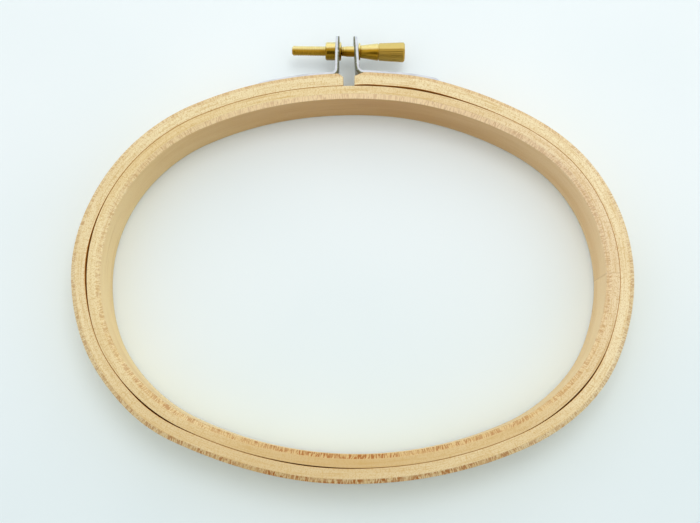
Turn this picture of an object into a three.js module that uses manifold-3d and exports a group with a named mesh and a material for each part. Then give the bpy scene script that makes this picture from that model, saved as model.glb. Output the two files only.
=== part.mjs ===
// Oval embroidery hoop. A closed inner hoop of bent beech lies inside a split outer hoop.
// Two sheet-steel brackets hold the ends of the split, and a brass thumb screw draws them together.
// Millimetres, +Z up. The hoop lies flat on z = 0 with its split at the far side, +Y.
// The origin is under the middle of the whole part's box.

import * as THREE from 'three';
import { mergeVertices } from 'three/addons/utils/BufferGeometryUtils.js';
import Module from 'manifold-3d';

// Hoops
const WINDOW_LENGTH = 140; // clear opening of the inner hoop, along X
const WINDOW_WIDTH = 99.8; // clear opening along Y
const END_SWEEP = THREE.MathUtils.degToRad(66); // each end's arc reaches this far either side of the X axis
const HOOP_DEPTH = 16;
const INNER_WALL = 3.6;
const OUTER_WALL = 4;
const HOOP_CLEARANCE = 0.3; // between the two hoops, all the way round
const EDGE_CHAMFER = 1.3; // on the inner hoop's window edges and the outer hoop's outside edges

// Split of the outer hoop
const SPLIT_X = -2.15; // the split is a little to the left of the middle
const SPLIT_GAP = 3.2;
const FLEX_CUT = 0.3; // hairline at the near side, where the one strip is taken as two halves
const LEFT_END_BEVEL = { along: 1.1, deep: 1.2 };
const RIGHT_END_BEVEL = { along: 2.5, deep: 0.9 };

// Brackets
const SHEET = 1;
const BRACKET_WIDTH = 9.2;
const BEND_RADIUS = 1.5; // on the hollow side of the bend
const STRAP_LENGTH = 21.9; // from the bend to the strap's tail
const TAIL_CORNER = 1.6;
const EAR_LEAN = THREE.MathUtils.degToRad(3); // the ears' tips lean towards each other
const LEFT_SETBACK = 2.1; // from the wood's end back to the ear's face, at the bend
const RIGHT_SETBACK = 0.35;
const SEAT_GAP = 0.3; // between the strap and the wood

// Rivets, two in each strap
const RIVET_SHANK_RADIUS = 1;
const RIVET_HEAD_RADIUS = 2.1;
const RIVET_HEAD_HEIGHT = 0.9;
const RIVET_FLARE_RADIUS = 1.7;
const RIVET_RECESS = 0.2; // below the wood's inner face, so that the inner hoop passes it
const FIRST_RIVET = 5.5; // from the bend
const RIVET_PITCH = 10;
const FIT_GAP = 0.25; // round the rivets, the bush and the screw

// Thumb screw, washer and threaded bush, all on one axis along X
const SCREW_STANDOFF = 9.55; // from the outer hoop's outside face to the screw's axis
const THREAD_RADIUS = 1.35; // mean radius of the 3 mm thread
const SHANK_RADIUS = 1.55;
const SHANK_LENGTH = 4.4; // plain part, from the cone towards the thread
const SCREW_REACH = 20.4; // from the cone's small end to the rod's tip
const TIP_CHAMFER = 0.35;
const CONE_LENGTH = 5;
const CONE_SMALL_RADIUS = 1.85;
const CONE_LARGE_RADIUS = 2.55;
const NECK_LENGTH = 0.3;
const NECK_RADIUS = 2.35;
const KNOB_LENGTH = 7.6;
const KNOB_RADIUS = 2.9;
const KNOB_CHAMFER = 0.35;
const KNURL_RIDGES = 30;
const KNURL_DEPTH = 0.16;
const WASHER_RADIUS = 2.6;
const WASHER_THICKNESS = 0.6;
const BUSH_RADIUS = 2.75;
const BUSH_LENGTH = 2.4;
const BUSH_EDGE = 0.25;
const BUSH_WAIST_WALL = 0.4;
const LIP_RADIUS = 2.85;
const LIP_LENGTH = 0.5;

// Fineness of the round surfaces
const END_STEPS = 40; // in each end arc of the hoops
const SIDE_STEPS = 24; // in each side arc
const TURNED_SEGMENTS = 32;
const BEND_STEPS = 8;
const STRAP_STEPS = 14;
const CORNER_STEPS = 12;
const DOME_STEPS = 5;
const WELD_REACH = 1e-5; // corners closer than this are one corner

// The window's line is an oval of four arcs: an end arc about (END_CENTRE_X, 0), its mirror image, and
// two side arcs about (0, SIDE_CENTRE_Y) and its mirror image, which meet the end arcs at END_SWEEP
const END_CENTRE_X = (WINDOW_LENGTH - WINDOW_WIDTH) / 2
  / (1 + Math.tan(END_SWEEP) - 1 / Math.cos(END_SWEEP));
const SIDE_CENTRE_Y = END_CENTRE_X * Math.tan(END_SWEEP);
const END_RADIUS = WINDOW_LENGTH / 2 - END_CENTRE_X;
const SIDE_RADIUS = WINDOW_WIDTH / 2 + SIDE_CENTRE_Y;

// Places that follow from the sizes
const OUTER_INSIDE = INNER_WALL + HOOP_CLEARANCE; // offsets outwards from the window's line
const OUTER_OUTSIDE = OUTER_INSIDE + OUTER_WALL;
const STRAP_INSIDE = OUTER_OUTSIDE + SEAT_GAP;
const MID_HEIGHT = HOOP_DEPTH / 2;
const FAR_FACE_Y = WINDOW_WIDTH / 2 + OUTER_OUTSIDE;
const SCREW_Y = FAR_FACE_Y + SCREW_STANDOFF;
const EAR_RADIUS = BRACKET_WIDTH / 2;
const BORE_RADIUS = THREAD_RADIUS + FIT_GAP;
const WAIST_RADIUS = BORE_RADIUS + BUSH_WAIST_WALL;
const CLEAR_OF_PART = WINDOW_LENGTH + WINDOW_WIDTH; // reach of the cutting shapes past the part

const wasm = await Module();
wasm.setup();

// Solids

function toSolid(geometry) {
  const bare = geometry.clone();
  bare.deleteAttribute('normal');
  bare.deleteAttribute('uv');
  const merged = mergeVertices(bare, WELD_REACH);
  return new wasm.Manifold(new wasm.Mesh({
    numProp: 3,
    vertProperties: new Float32Array(merged.attributes.position.array),
    triVerts: new Uint32Array(merged.index.array),
  }));
}

function toGeometry(solid) {
  const mesh = solid.getMesh();
  const geometry = new THREE.BufferGeometry();
  geometry.setAttribute('position', new THREE.BufferAttribute(mesh.vertProperties, 3));
  geometry.setIndex(new THREE.BufferAttribute(mesh.triVerts, 1));
  geometry.computeVertexNormals();
  return geometry;
}

// An outline in X and Y, given its height between two levels of Z
function prism(points, bottom, top) {
  const shape = new THREE.Shape(points);
  const geometry = new THREE.ExtrudeGeometry(shape, { depth: top - bottom, bevelEnabled: false });
  return geometry.translate(0, 0, bottom);
}

// A turned piece, from [distance along the axis, radius] pairs; its axis is local +Y
function turned(profile) {
  const points = profile.map(([along, radius]) => new THREE.Vector2(radius, along));
  return new THREE.LatheGeometry(points, TURNED_SEGMENTS);
}

// The oval

function direction(angle) {
  return new THREE.Vector2(Math.cos(angle), Math.sin(angle));
}

// The point at an offset outwards from the window's line, where outwards is the way this angle points
function ovalPoint(angle, offset) {
  const outwards = direction(angle);
  const onEnd = Math.abs(outwards.y) < Math.sin(END_SWEEP);
  const centre = onEnd
    ? new THREE.Vector2(Math.sign(outwards.x) * END_CENTRE_X, 0)
    : new THREE.Vector2(0, -Math.sign(outwards.y) * SIDE_CENTRE_Y);
  return centre.addScaledVector(outwards, (onEnd ? END_RADIUS : SIDE_RADIUS) + offset);
}

// The angle at which the far side's arc, at this offset, has this x
function farAngle(x, offset) {
  return Math.acos(x / (SIDE_RADIUS + offset));
}

// The angles of the hoops' sections, anticlockwise from the right end's arc
function stationAngles() {
  const arcs = [
    [-END_SWEEP, END_SWEEP, END_STEPS],
    [END_SWEEP, Math.PI - END_SWEEP, SIDE_STEPS],
  ];
  return [0, Math.PI].flatMap((start) => arcs.flatMap(([from, to, steps]) => (
    Array.from({ length: steps }, (_, step) => start + from + ((to - from) * step) / steps)
  )));
}

// Hoops

// A section of [offset, height] corners, counter-clockwise, carried round the oval
function hoopGeometry(section) {
  const stations = stationAngles();
  const positions = stations.flatMap((angle) => section.flatMap(([offset, height]) => {
    const point = ovalPoint(angle, offset);
    return [point.x, point.y, height];
  }));
  const corner = (station, side) => (station % stations.length) * section.length + (side % section.length);
  const faces = [];
  for (let station = 0; station < stations.length; station += 1) {
    for (let side = 0; side < section.length; side += 1) {
      const [low, lowNext] = [corner(station, side), corner(station + 1, side)];
      const [high, highNext] = [corner(station, side + 1), corner(station + 1, side + 1)];
      faces.push(low, lowNext, highNext, low, highNext, high);
    }
  }
  const geometry = new THREE.BufferGeometry();
  geometry.setAttribute('position', new THREE.Float32BufferAttribute(positions, 3));
  geometry.setIndex(faces);
  geometry.computeVertexNormals();
  return geometry;
}

function innerHoop() {
  return hoopGeometry([
    [EDGE_CHAMFER, 0],
    [INNER_WALL, 0],
    [INNER_WALL, HOOP_DEPTH],
    [EDGE_CHAMFER, HOOP_DEPTH],
    [0, HOOP_DEPTH - EDGE_CHAMFER],
    [0, EDGE_CHAMFER],
  ]);
}

function wholeOuterHoop() {
  return hoopGeometry([
    [OUTER_INSIDE, 0],
    [OUTER_OUTSIDE - EDGE_CHAMFER, 0],
    [OUTER_OUTSIDE, EDGE_CHAMFER],
    [OUTER_OUTSIDE, HOOP_DEPTH - EDGE_CHAMFER],
    [OUTER_OUTSIDE - EDGE_CHAMFER, HOOP_DEPTH],
    [OUTER_INSIDE, HOOP_DEPTH],
  ]);
}

function woodEnd(side) {
  return SPLIT_X + (side * SPLIT_GAP) / 2;
}

// Everything on one side of the flex cut and of the split, with the wood end's corner bevelled
function halfRegion(side, bevel) {
  const end = woodEnd(side);
  const away = side * CLEAR_OF_PART;
  const outline = [
    [(side * FLEX_CUT) / 2, -CLEAR_OF_PART],
    [(side * FLEX_CUT) / 2, 0],
    [end, 0],
    [end, FAR_FACE_Y - bevel.deep],
    [end + 2 * side * bevel.along, FAR_FACE_Y + bevel.deep],
    [end + 2 * side * bevel.along, CLEAR_OF_PART],
    [away, CLEAR_OF_PART],
    [away, -CLEAR_OF_PART],
  ];
  return prism(outline.map(([x, y]) => new THREE.Vector2(x, y)), -HOOP_DEPTH, 2 * HOOP_DEPTH);
}

function outerHoopHalf(side, bevel, line) {
  let half = toSolid(wholeOuterHoop()).intersect(toSolid(halfRegion(side, bevel)));
  for (const place of line.rivets) {
    half = half.subtract(toSolid(placed(rivetHole(), place)));
  }
  return toGeometry(half);
}

// Brackets

// The middle line of a bracket's sheet: ear, bend and strap. Each point has the way that its inner side faces
function bracketLine(side, setback) {
  const bend = BEND_RADIUS + SHEET / 2;
  const strap = STRAP_INSIDE + SHEET / 2;
  const facing = new THREE.Vector2(-side * Math.cos(EAR_LEAN), -Math.sin(EAR_LEAN));
  const upwards = new THREE.Vector2(-side * Math.sin(EAR_LEAN), Math.cos(EAR_LEAN));
  const bendX = woodEnd(side) + side * (setback + (bend + SHEET / 2) * Math.cos(EAR_LEAN));
  const start = farAngle(bendX, strap + bend);
  const centre = ovalPoint(start, strap + bend);
  const earFoot = centre.clone().addScaledVector(facing, bend);
  const onEar = (y) => earFoot.clone().addScaledVector(upwards, (y - earFoot.y) / upwards.y);
  const points = [{ at: onEar(SCREW_Y + EAR_RADIUS), facing }];
  const inwards = direction(start).negate();
  const turn = Math.atan2(facing.cross(inwards), facing.dot(inwards));
  for (let step = 0; step <= BEND_STEPS; step += 1) {
    const across = facing.clone().rotateAround(new THREE.Vector2(), (turn * step) / BEND_STEPS);
    points.push({ at: centre.clone().addScaledVector(across, bend), facing: across });
  }
  const angleAt = (distance) => start - (side * distance) / (SIDE_RADIUS + strap);
  for (let step = 1; step <= STRAP_STEPS; step += 1) {
    const angle = angleAt((STRAP_LENGTH * step) / STRAP_STEPS);
    points.push({ at: ovalPoint(angle, strap), facing: direction(angle).negate() });
  }
  const rivets = [FIRST_RIVET, FIRST_RIVET + RIVET_PITCH].map((distance) => {
    const angle = angleAt(distance);
    return { at: ovalPoint(angle, OUTER_INSIDE), turn: angle - Math.PI / 2 };
  });
  return { points, rivets, tail: points.at(-1).at, earMiddle: onEar(SCREW_Y).x };
}

function halfTurn(centre, radius, from) {
  return Array.from({ length: CORNER_STEPS + 1 }, (_, step) => {
    const angle = from + (Math.PI * step) / CORNER_STEPS;
    return new THREE.Vector2(centre.x + radius * Math.cos(angle), centre.y + radius * Math.sin(angle));
  });
}

// The ear seen along X: straight up from below the strap, with a round tip about the screw's axis
function earRegion() {
  const outline = [
    new THREE.Vector2(-EAR_RADIUS, -SCREW_Y),
    new THREE.Vector2(EAR_RADIUS, -SCREW_Y),
    ...halfTurn(new THREE.Vector2(), EAR_RADIUS, 0),
  ];
  const geometry = prism(outline, -CLEAR_OF_PART, CLEAR_OF_PART);
  // The outline's Y stays Y and its X becomes Z
  return geometry.rotateY(Math.PI / 2).translate(0, SCREW_Y, MID_HEIGHT);
}

// The strap seen along Y: a band whose tail has two rounded corners
function strapRegion(tailX) {
  const half = BRACKET_WIDTH / 2;
  const shape = new THREE.Shape();
  const side = Math.sign(tailX);
  const corner = Math.min(TAIL_CORNER, half);
  shape.moveTo(-side * CLEAR_OF_PART, -half);
  shape.lineTo(tailX - side * corner, -half);
  shape.quadraticCurveTo(tailX, -half, tailX, corner - half);
  shape.lineTo(tailX, half - corner);
  shape.quadraticCurveTo(tailX, half, tailX - side * corner, half);
  shape.lineTo(-side * CLEAR_OF_PART, half);
  const geometry = prism(shape.getPoints(CORNER_STEPS / 2), -CLEAR_OF_PART, CLEAR_OF_PART);
  return geometry.rotateX(Math.PI / 2).translate(0, 0, MID_HEIGHT);
}

function bracket(line, holeRadius) {
  const inside = line.points.map(({ at, facing }) => at.clone().addScaledVector(facing, SHEET / 2));
  const outside = line.points.map(({ at, facing }) => at.clone().addScaledVector(facing, -SHEET / 2));
  const sheet = prism([...inside, ...outside.reverse()], MID_HEIGHT - EAR_RADIUS, MID_HEIGHT + EAR_RADIUS);
  const reach = EAR_RADIUS;
  const hole = turned([[-reach, 0], [-reach, holeRadius], [reach, holeRadius], [reach, 0]]);
  let solid = toSolid(sheet).intersect(toSolid(earRegion())).intersect(toSolid(strapRegion(line.tail.x)));
  solid = solid.subtract(toSolid(placedOnAxis(hole, line.earMiddle)));
  for (const place of line.rivets) {
    solid = solid.subtract(toSolid(placed(rivetHole(), place)));
  }
  return toGeometry(solid);
}

// Rivets

// A rivet's axis is local +Y, from the outer hoop's inside face outwards
function rivet() {
  const flareEnd = RIVET_RECESS + RIVET_FLARE_RADIUS - RIVET_SHANK_RADIUS;
  const headSeat = STRAP_INSIDE + SHEET + FIT_GAP - OUTER_INSIDE;
  const profile = [
    [RIVET_RECESS, 0],
    [RIVET_RECESS, RIVET_FLARE_RADIUS],
    [flareEnd, RIVET_SHANK_RADIUS],
    [headSeat, RIVET_SHANK_RADIUS],
  ];
  for (let step = 0; step <= DOME_STEPS; step += 1) {
    const angle = ((Math.PI / 2) * step) / DOME_STEPS;
    const radius = step === DOME_STEPS ? 0 : RIVET_HEAD_RADIUS * Math.cos(angle);
    profile.push([headSeat + RIVET_HEAD_HEIGHT * Math.sin(angle), radius]);
  }
  return turned(profile);
}

// The hole through wood and strap, wider than the rivet all round
function rivetHole() {
  const wide = RIVET_FLARE_RADIUS + FIT_GAP;
  const narrow = RIVET_SHANK_RADIUS + FIT_GAP;
  const through = STRAP_INSIDE + 2 * SHEET - OUTER_INSIDE;
  return turned([
    [-HOOP_CLEARANCE, 0],
    [-HOOP_CLEARANCE, wide],
    [RIVET_RECESS, wide],
    [RIVET_RECESS + wide - narrow, narrow],
    [through, narrow],
    [through, 0],
  ]);
}

function placed(geometry, place) {
  return geometry.rotateZ(place.turn).translate(place.at.x, place.at.y, MID_HEIGHT);
}

function placedOnAxis(geometry, x) {
  return geometry.rotateZ(-Math.PI / 2).translate(x, SCREW_Y, MID_HEIGHT);
}

// Screw, washer and bush

function knurledKnob() {
  const outline = [];
  for (let ridge = 0; ridge < KNURL_RIDGES; ridge += 1) {
    for (const [share, radius] of [[0, KNOB_RADIUS], [0.5, KNOB_RADIUS - KNURL_DEPTH]]) {
      const angle = (2 * Math.PI * (ridge + share)) / KNURL_RIDGES;
      outline.push(new THREE.Vector2(radius * Math.cos(angle), radius * Math.sin(angle)));
    }
  }
  const start = CONE_LENGTH + NECK_LENGTH;
  const end = start + KNOB_LENGTH;
  const ridged = prism(outline, start, end).rotateX(-Math.PI / 2);
  const small = KNOB_RADIUS - KNOB_CHAMFER;
  const envelope = turned([
    [start, 0],
    [start, small],
    [start + KNOB_CHAMFER, KNOB_RADIUS],
    [end - KNOB_CHAMFER, KNOB_RADIUS],
    [end, small],
    [end, 0],
  ]);
  return toSolid(ridged).intersect(toSolid(envelope));
}

// The screw's axis is local +Y, and its zero is the cone's small end
function thumbScrew() {
  const neckEnd = CONE_LENGTH + NECK_LENGTH;
  const shaft = turned([
    [-SCREW_REACH, 0],
    [-SCREW_REACH, THREAD_RADIUS - TIP_CHAMFER],
    [TIP_CHAMFER - SCREW_REACH, THREAD_RADIUS],
    [-SHANK_LENGTH - (SHANK_RADIUS - THREAD_RADIUS), THREAD_RADIUS],
    [-SHANK_LENGTH, SHANK_RADIUS],
    [0, SHANK_RADIUS],
    [0, CONE_SMALL_RADIUS],
    [CONE_LENGTH, CONE_LARGE_RADIUS],
    [CONE_LENGTH, NECK_RADIUS],
    [neckEnd + KNOB_CHAMFER, NECK_RADIUS],
    [neckEnd + KNOB_CHAMFER, 0],
  ]);
  return toGeometry(toSolid(shaft).add(knurledKnob()));
}

// A washer's axis is local +Y, and its zero is the face towards the ear
function collarWasher() {
  const hole = SHANK_RADIUS + FIT_GAP;
  return turned([
    [0, hole],
    [0, WASHER_RADIUS],
    [WASHER_THICKNESS, WASHER_RADIUS],
    [WASHER_THICKNESS, hole],
    [0, hole],
  ]);
}

// Half of the bush's waist: half the sheet, its lean over the lip's radius and the gap
function waistReach() {
  return SHEET / 2 / Math.cos(EAR_LEAN) + LIP_RADIUS * Math.tan(EAR_LEAN) + FIT_GAP;
}

// The bush's axis is local +Y, and its zero is the middle of the ear's sheet
function threadedBush() {
  const waist = waistReach();
  return turned([
    [-waist - BUSH_LENGTH, BORE_RADIUS],
    [-waist - BUSH_LENGTH, BUSH_RADIUS - BUSH_EDGE],
    [BUSH_EDGE - waist - BUSH_LENGTH, BUSH_RADIUS],
    [-waist, BUSH_RADIUS],
    [-waist, WAIST_RADIUS],
    [waist, WAIST_RADIUS],
    [waist, LIP_RADIUS],
    [waist + LIP_LENGTH, LIP_RADIUS - BUSH_EDGE],
    [waist + LIP_LENGTH, BORE_RADIUS],
    [-waist - BUSH_LENGTH, BORE_RADIUS],
  ]);
}

// Materials

const beech = () => new THREE.MeshStandardMaterial({ color: 0xe2c391, roughness: 0.62, metalness: 0 });
const nickel = () => new THREE.MeshStandardMaterial({ color: 0xc6c8cc, roughness: 0.3, metalness: 1 });
const brass = () => new THREE.MeshStandardMaterial({ color: 0xb8913a, roughness: 0.32, metalness: 1 });

// Assembly

const hoop = new THREE.Group();

function addPiece(name, geometry, material) {
  const mesh = new THREE.Mesh(geometry, material);
  mesh.name = name;
  hoop.add(mesh);
  return mesh;
}

const leftLine = bracketLine(-1, LEFT_SETBACK);
const rightLine = bracketLine(1, RIGHT_SETBACK);

addPiece('inner_hoop', innerHoop(), beech());
addPiece('outer_hoop_left', outerHoopHalf(-1, LEFT_END_BEVEL, leftLine), beech());
addPiece('outer_hoop_right', outerHoopHalf(1, RIGHT_END_BEVEL, rightLine), beech());
addPiece('left_bracket', bracket(leftLine, WAIST_RADIUS + FIT_GAP), nickel());
addPiece('right_bracket', bracket(rightLine, SHANK_RADIUS + 2 * FIT_GAP), nickel());

for (const [side, line] of [['left', leftLine], ['right', rightLine]]) {
  line.rivets.forEach((place, index) => {
    const mesh = addPiece(`${side}_rivet_${index + 1}`, rivet(), nickel());
    mesh.position.set(place.at.x, place.at.y, MID_HEIGHT);
    mesh.rotation.z = place.turn;
  });
}

const washerFace = rightLine.earMiddle + SHEET / 2 / Math.cos(EAR_LEAN)
  + WASHER_RADIUS * Math.tan(EAR_LEAN) + FIT_GAP;
const turnedPieces = [
  ['threaded_bush', threadedBush(), leftLine.earMiddle],
  ['collar_washer', collarWasher(), washerFace],
  ['thumb_screw', thumbScrew(), washerFace + WASHER_THICKNESS],
];
for (const [name, geometry, x] of turnedPieces) {
  const mesh = addPiece(name, geometry, brass());
  mesh.position.set(x, SCREW_Y, MID_HEIGHT);
  mesh.rotation.z = -Math.PI / 2;
}

// The box runs from the near side of the outer hoop to the tips of the ears
hoop.position.y = (FAR_FACE_Y - SCREW_Y - EAR_RADIUS) / 2;

export default hoop;
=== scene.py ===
import logging
import math
from dataclasses import dataclass, field
from enum import Enum

import bmesh
import bpy
from mathutils import Matrix, Vector


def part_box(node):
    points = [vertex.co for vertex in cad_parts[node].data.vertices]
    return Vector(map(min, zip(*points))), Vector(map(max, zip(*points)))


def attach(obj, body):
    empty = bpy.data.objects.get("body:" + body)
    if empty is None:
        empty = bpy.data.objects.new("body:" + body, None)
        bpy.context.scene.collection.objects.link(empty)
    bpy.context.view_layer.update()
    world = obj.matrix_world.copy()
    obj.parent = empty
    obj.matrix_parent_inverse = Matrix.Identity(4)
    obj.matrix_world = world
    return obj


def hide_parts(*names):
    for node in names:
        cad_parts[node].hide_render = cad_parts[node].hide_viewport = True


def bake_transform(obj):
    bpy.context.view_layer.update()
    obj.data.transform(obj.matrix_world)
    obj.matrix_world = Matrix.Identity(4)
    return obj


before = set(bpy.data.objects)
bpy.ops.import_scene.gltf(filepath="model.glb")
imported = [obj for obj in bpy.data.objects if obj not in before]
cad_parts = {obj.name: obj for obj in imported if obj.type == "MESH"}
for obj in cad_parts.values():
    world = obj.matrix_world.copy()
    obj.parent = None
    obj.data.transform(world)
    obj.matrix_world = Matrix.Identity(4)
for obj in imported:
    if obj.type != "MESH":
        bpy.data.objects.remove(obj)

# An oval embroidery hoop of bent beech, drawn shut by a brass thumb screw.
# Lengths are in metres, in the CAD model's frame.

log = logging.getLogger("embroidery_hoop")

MM = 0.001
WELD = 0.0005 * MM  # points closer than this become one
Colour = tuple[float, float, float, float]
# A turned or flat outline's points, and a bent sheet's points: distance along it, place, facing
Outline = list[tuple[float, float]]
Track = list[tuple[float, Vector, Vector]]


def paint(red: int, green: int, blue: int) -> Colour:
    """A colour as a screen shows it, turned into the scene's linear light.

    Args:
        red: Red from 0 to 255.
        green: Green from 0 to 255.
        blue: Blue from 0 to 255.

    Returns:
        Red, green, blue and alpha in linear light.
    """
    shares = [value / 255.0 for value in (red, green, blue)]
    linear = [s / 12.92 if s < 0.04045 else ((s + 0.055) / 1.055) ** 2.4 for s in shares]
    return (linear[0], linear[1], linear[2], 1.0)


class Field:
    """A value that varies over a shape, as the output of a node."""

    def __init__(self, graph: "Graph", socket: bpy.types.NodeSocket) -> None:
        """Keep the graph and the socket that gives the value."""
        self.graph = graph
        self.socket = socket

    def math(self, operation: str, *others: "Field | float", clamp: bool = False) -> "Field":
        """Join this value and others in one Math node.

        Args:
            operation: The Math node's operation.
            others: The values for the node's other inputs.
            clamp: Whether the result is kept between 0 and 1.

        Returns:
            The node's result.
        """
        node = self.graph.add("ShaderNodeMath", operation=operation, use_clamp=clamp)
        for socket, value in zip(node.inputs, (self, *others)):
            self.graph.fill(socket, value)
        return Field(self.graph, node.outputs[0])

    def __add__(self, other: "Field | float") -> "Field":
        """This value plus another."""
        return self.math("ADD", other)

    def __radd__(self, other: float) -> "Field":
        """A number plus this value."""
        return self.math("ADD", other)

    def __sub__(self, other: "Field | float") -> "Field":
        """This value less another."""
        return self.math("SUBTRACT", other)

    def __rsub__(self, other: float) -> "Field":
        """A number less this value."""
        return self.math("MULTIPLY", -1.0) + other

    def __mul__(self, other: "Field | float") -> "Field":
        """This value times another."""
        return self.math("MULTIPLY", other)

    def __truediv__(self, other: "Field | float") -> "Field":
        """This value divided by another."""
        return self.math("DIVIDE", other)

    def floor(self) -> "Field":
        """The whole number at or below this value."""
        return self.math("FLOOR")

    def cosine(self) -> "Field":
        """The cosine of this angle."""
        return self.math("COSINE")

    def sine(self) -> "Field":
        """The sine of this angle."""
        return self.math("SINE")

    def size(self) -> "Field":
        """This value without its sign."""
        return self.math("ABSOLUTE")

    def sign(self) -> "Field":
        """The value's sign, as -1, 0 or 1."""
        return self.math("SIGN")

    def least(self, other: "Field | float") -> "Field":
        """The lesser of two values."""
        return self.math("MINIMUM", other)

    def most(self, other: "Field | float") -> "Field":
        """The greater of two values."""
        return self.math("MAXIMUM", other)

    def below(self, other: "Field | float") -> "Field":
        """1 where this value is less than another, and 0 elsewhere."""
        return self.math("LESS_THAN", other)

    def between(self, low: "Field | float", high: "Field | float") -> "Field":
        """This value, kept between two others."""
        return self.most(low).least(high)

    def smooth(self, low: float, high: float) -> "Field":
        """Rise smoothly from 0 at one value to 1 at another.

        Args:
            low: Where the rise starts.
            high: Where it ends; it may be the lower of the two, for a fall.

        Returns:
            The share between 0 and 1.
        """
        sockets = {"Value": self, "From Min": low, "From Max": high}
        node = self.graph.add("ShaderNodeMapRange", sockets, interpolation_type="SMOOTHSTEP")
        return Field(self.graph, node.outputs["Result"])

    def bell(self, centre: float, spread: float) -> "Field":
        """A smooth bump of height 1 about a centre, which falls to a third at its spread."""
        share = (self - centre) / spread
        return (share * share * -1.0).math("EXPONENT")


class Graph:
    """A node tree that is being built."""

    def __init__(self, tree: bpy.types.NodeTree) -> None:
        """Keep the tree to build in."""
        self.tree = tree

    def fill(self, socket: bpy.types.NodeSocket, value: object) -> None:
        """Link a field or socket to an input, or write a plain value in it.

        Args:
            socket: The input to fill.
            value: A Field, an output socket, or a value that the input takes.
        """
        if isinstance(value, Field):
            value = value.socket
        if isinstance(value, bpy.types.NodeSocket):
            self.tree.links.new(value, socket)
        else:
            socket.default_value = value

    def add(self, kind: str, sockets: dict | None = None, **options: object) -> bpy.types.Node:
        """Add a node.

        Args:
            kind: The node's type name.
            sockets: Values for its inputs, by name or by place.
            options: Values for its own settings.

        Returns:
            The new node.
        """
        node = self.tree.nodes.new(kind)
        for name, value in options.items():
            setattr(node, name, value)
        for name, value in (sockets or {}).items():
            self.fill(node.inputs[name], value)
        return node

    def vector(self, x: "Field | float", y: "Field | float", z: "Field | float") -> Field:
        """Three values as one vector."""
        node = self.add("ShaderNodeCombineXYZ", {0: x, 1: y, 2: z})
        return Field(self, node.outputs[0])

    def parts(self, vector: Field) -> tuple[Field, Field, Field]:
        """A vector as its three values."""
        node = self.add("ShaderNodeSeparateXYZ", {0: vector})
        return tuple(Field(self, socket) for socket in node.outputs)

    def noise(self, vector: Field, scale: float = 1.0, detail: float = 2.0, rough: float = 0.5) -> Field:
        """Smooth noise about 0.5.

        Args:
            vector: Where the noise is read.
            scale: How many waves fit in one unit.
            detail: How many finer layers are added.
            rough: How strong the finer layers are.

        Returns:
            The noise's strength.
        """
        sockets = {"Vector": vector, "Scale": scale, "Detail": detail, "Roughness": rough}
        node = self.add("ShaderNodeTexNoise", sockets)
        return Field(self, node.outputs["Fac"])

    def mix(self, share: Field, first: "Field | Colour", second: "Field | Colour",
            blend: str = "MIX") -> Field:
        """Mix two colours.

        Args:
            share: How much of the second colour shows, from 0 to 1.
            first: The first colour.
            second: The second colour.
            blend: The Mix node's way of mixing.

        Returns:
            The mixed colour.
        """
        sockets = {0: share, 6: first, 7: second}
        node = self.add("ShaderNodeMix", sockets, data_type="RGBA", blend_type=blend)
        return Field(self, node.outputs[2])


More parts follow.
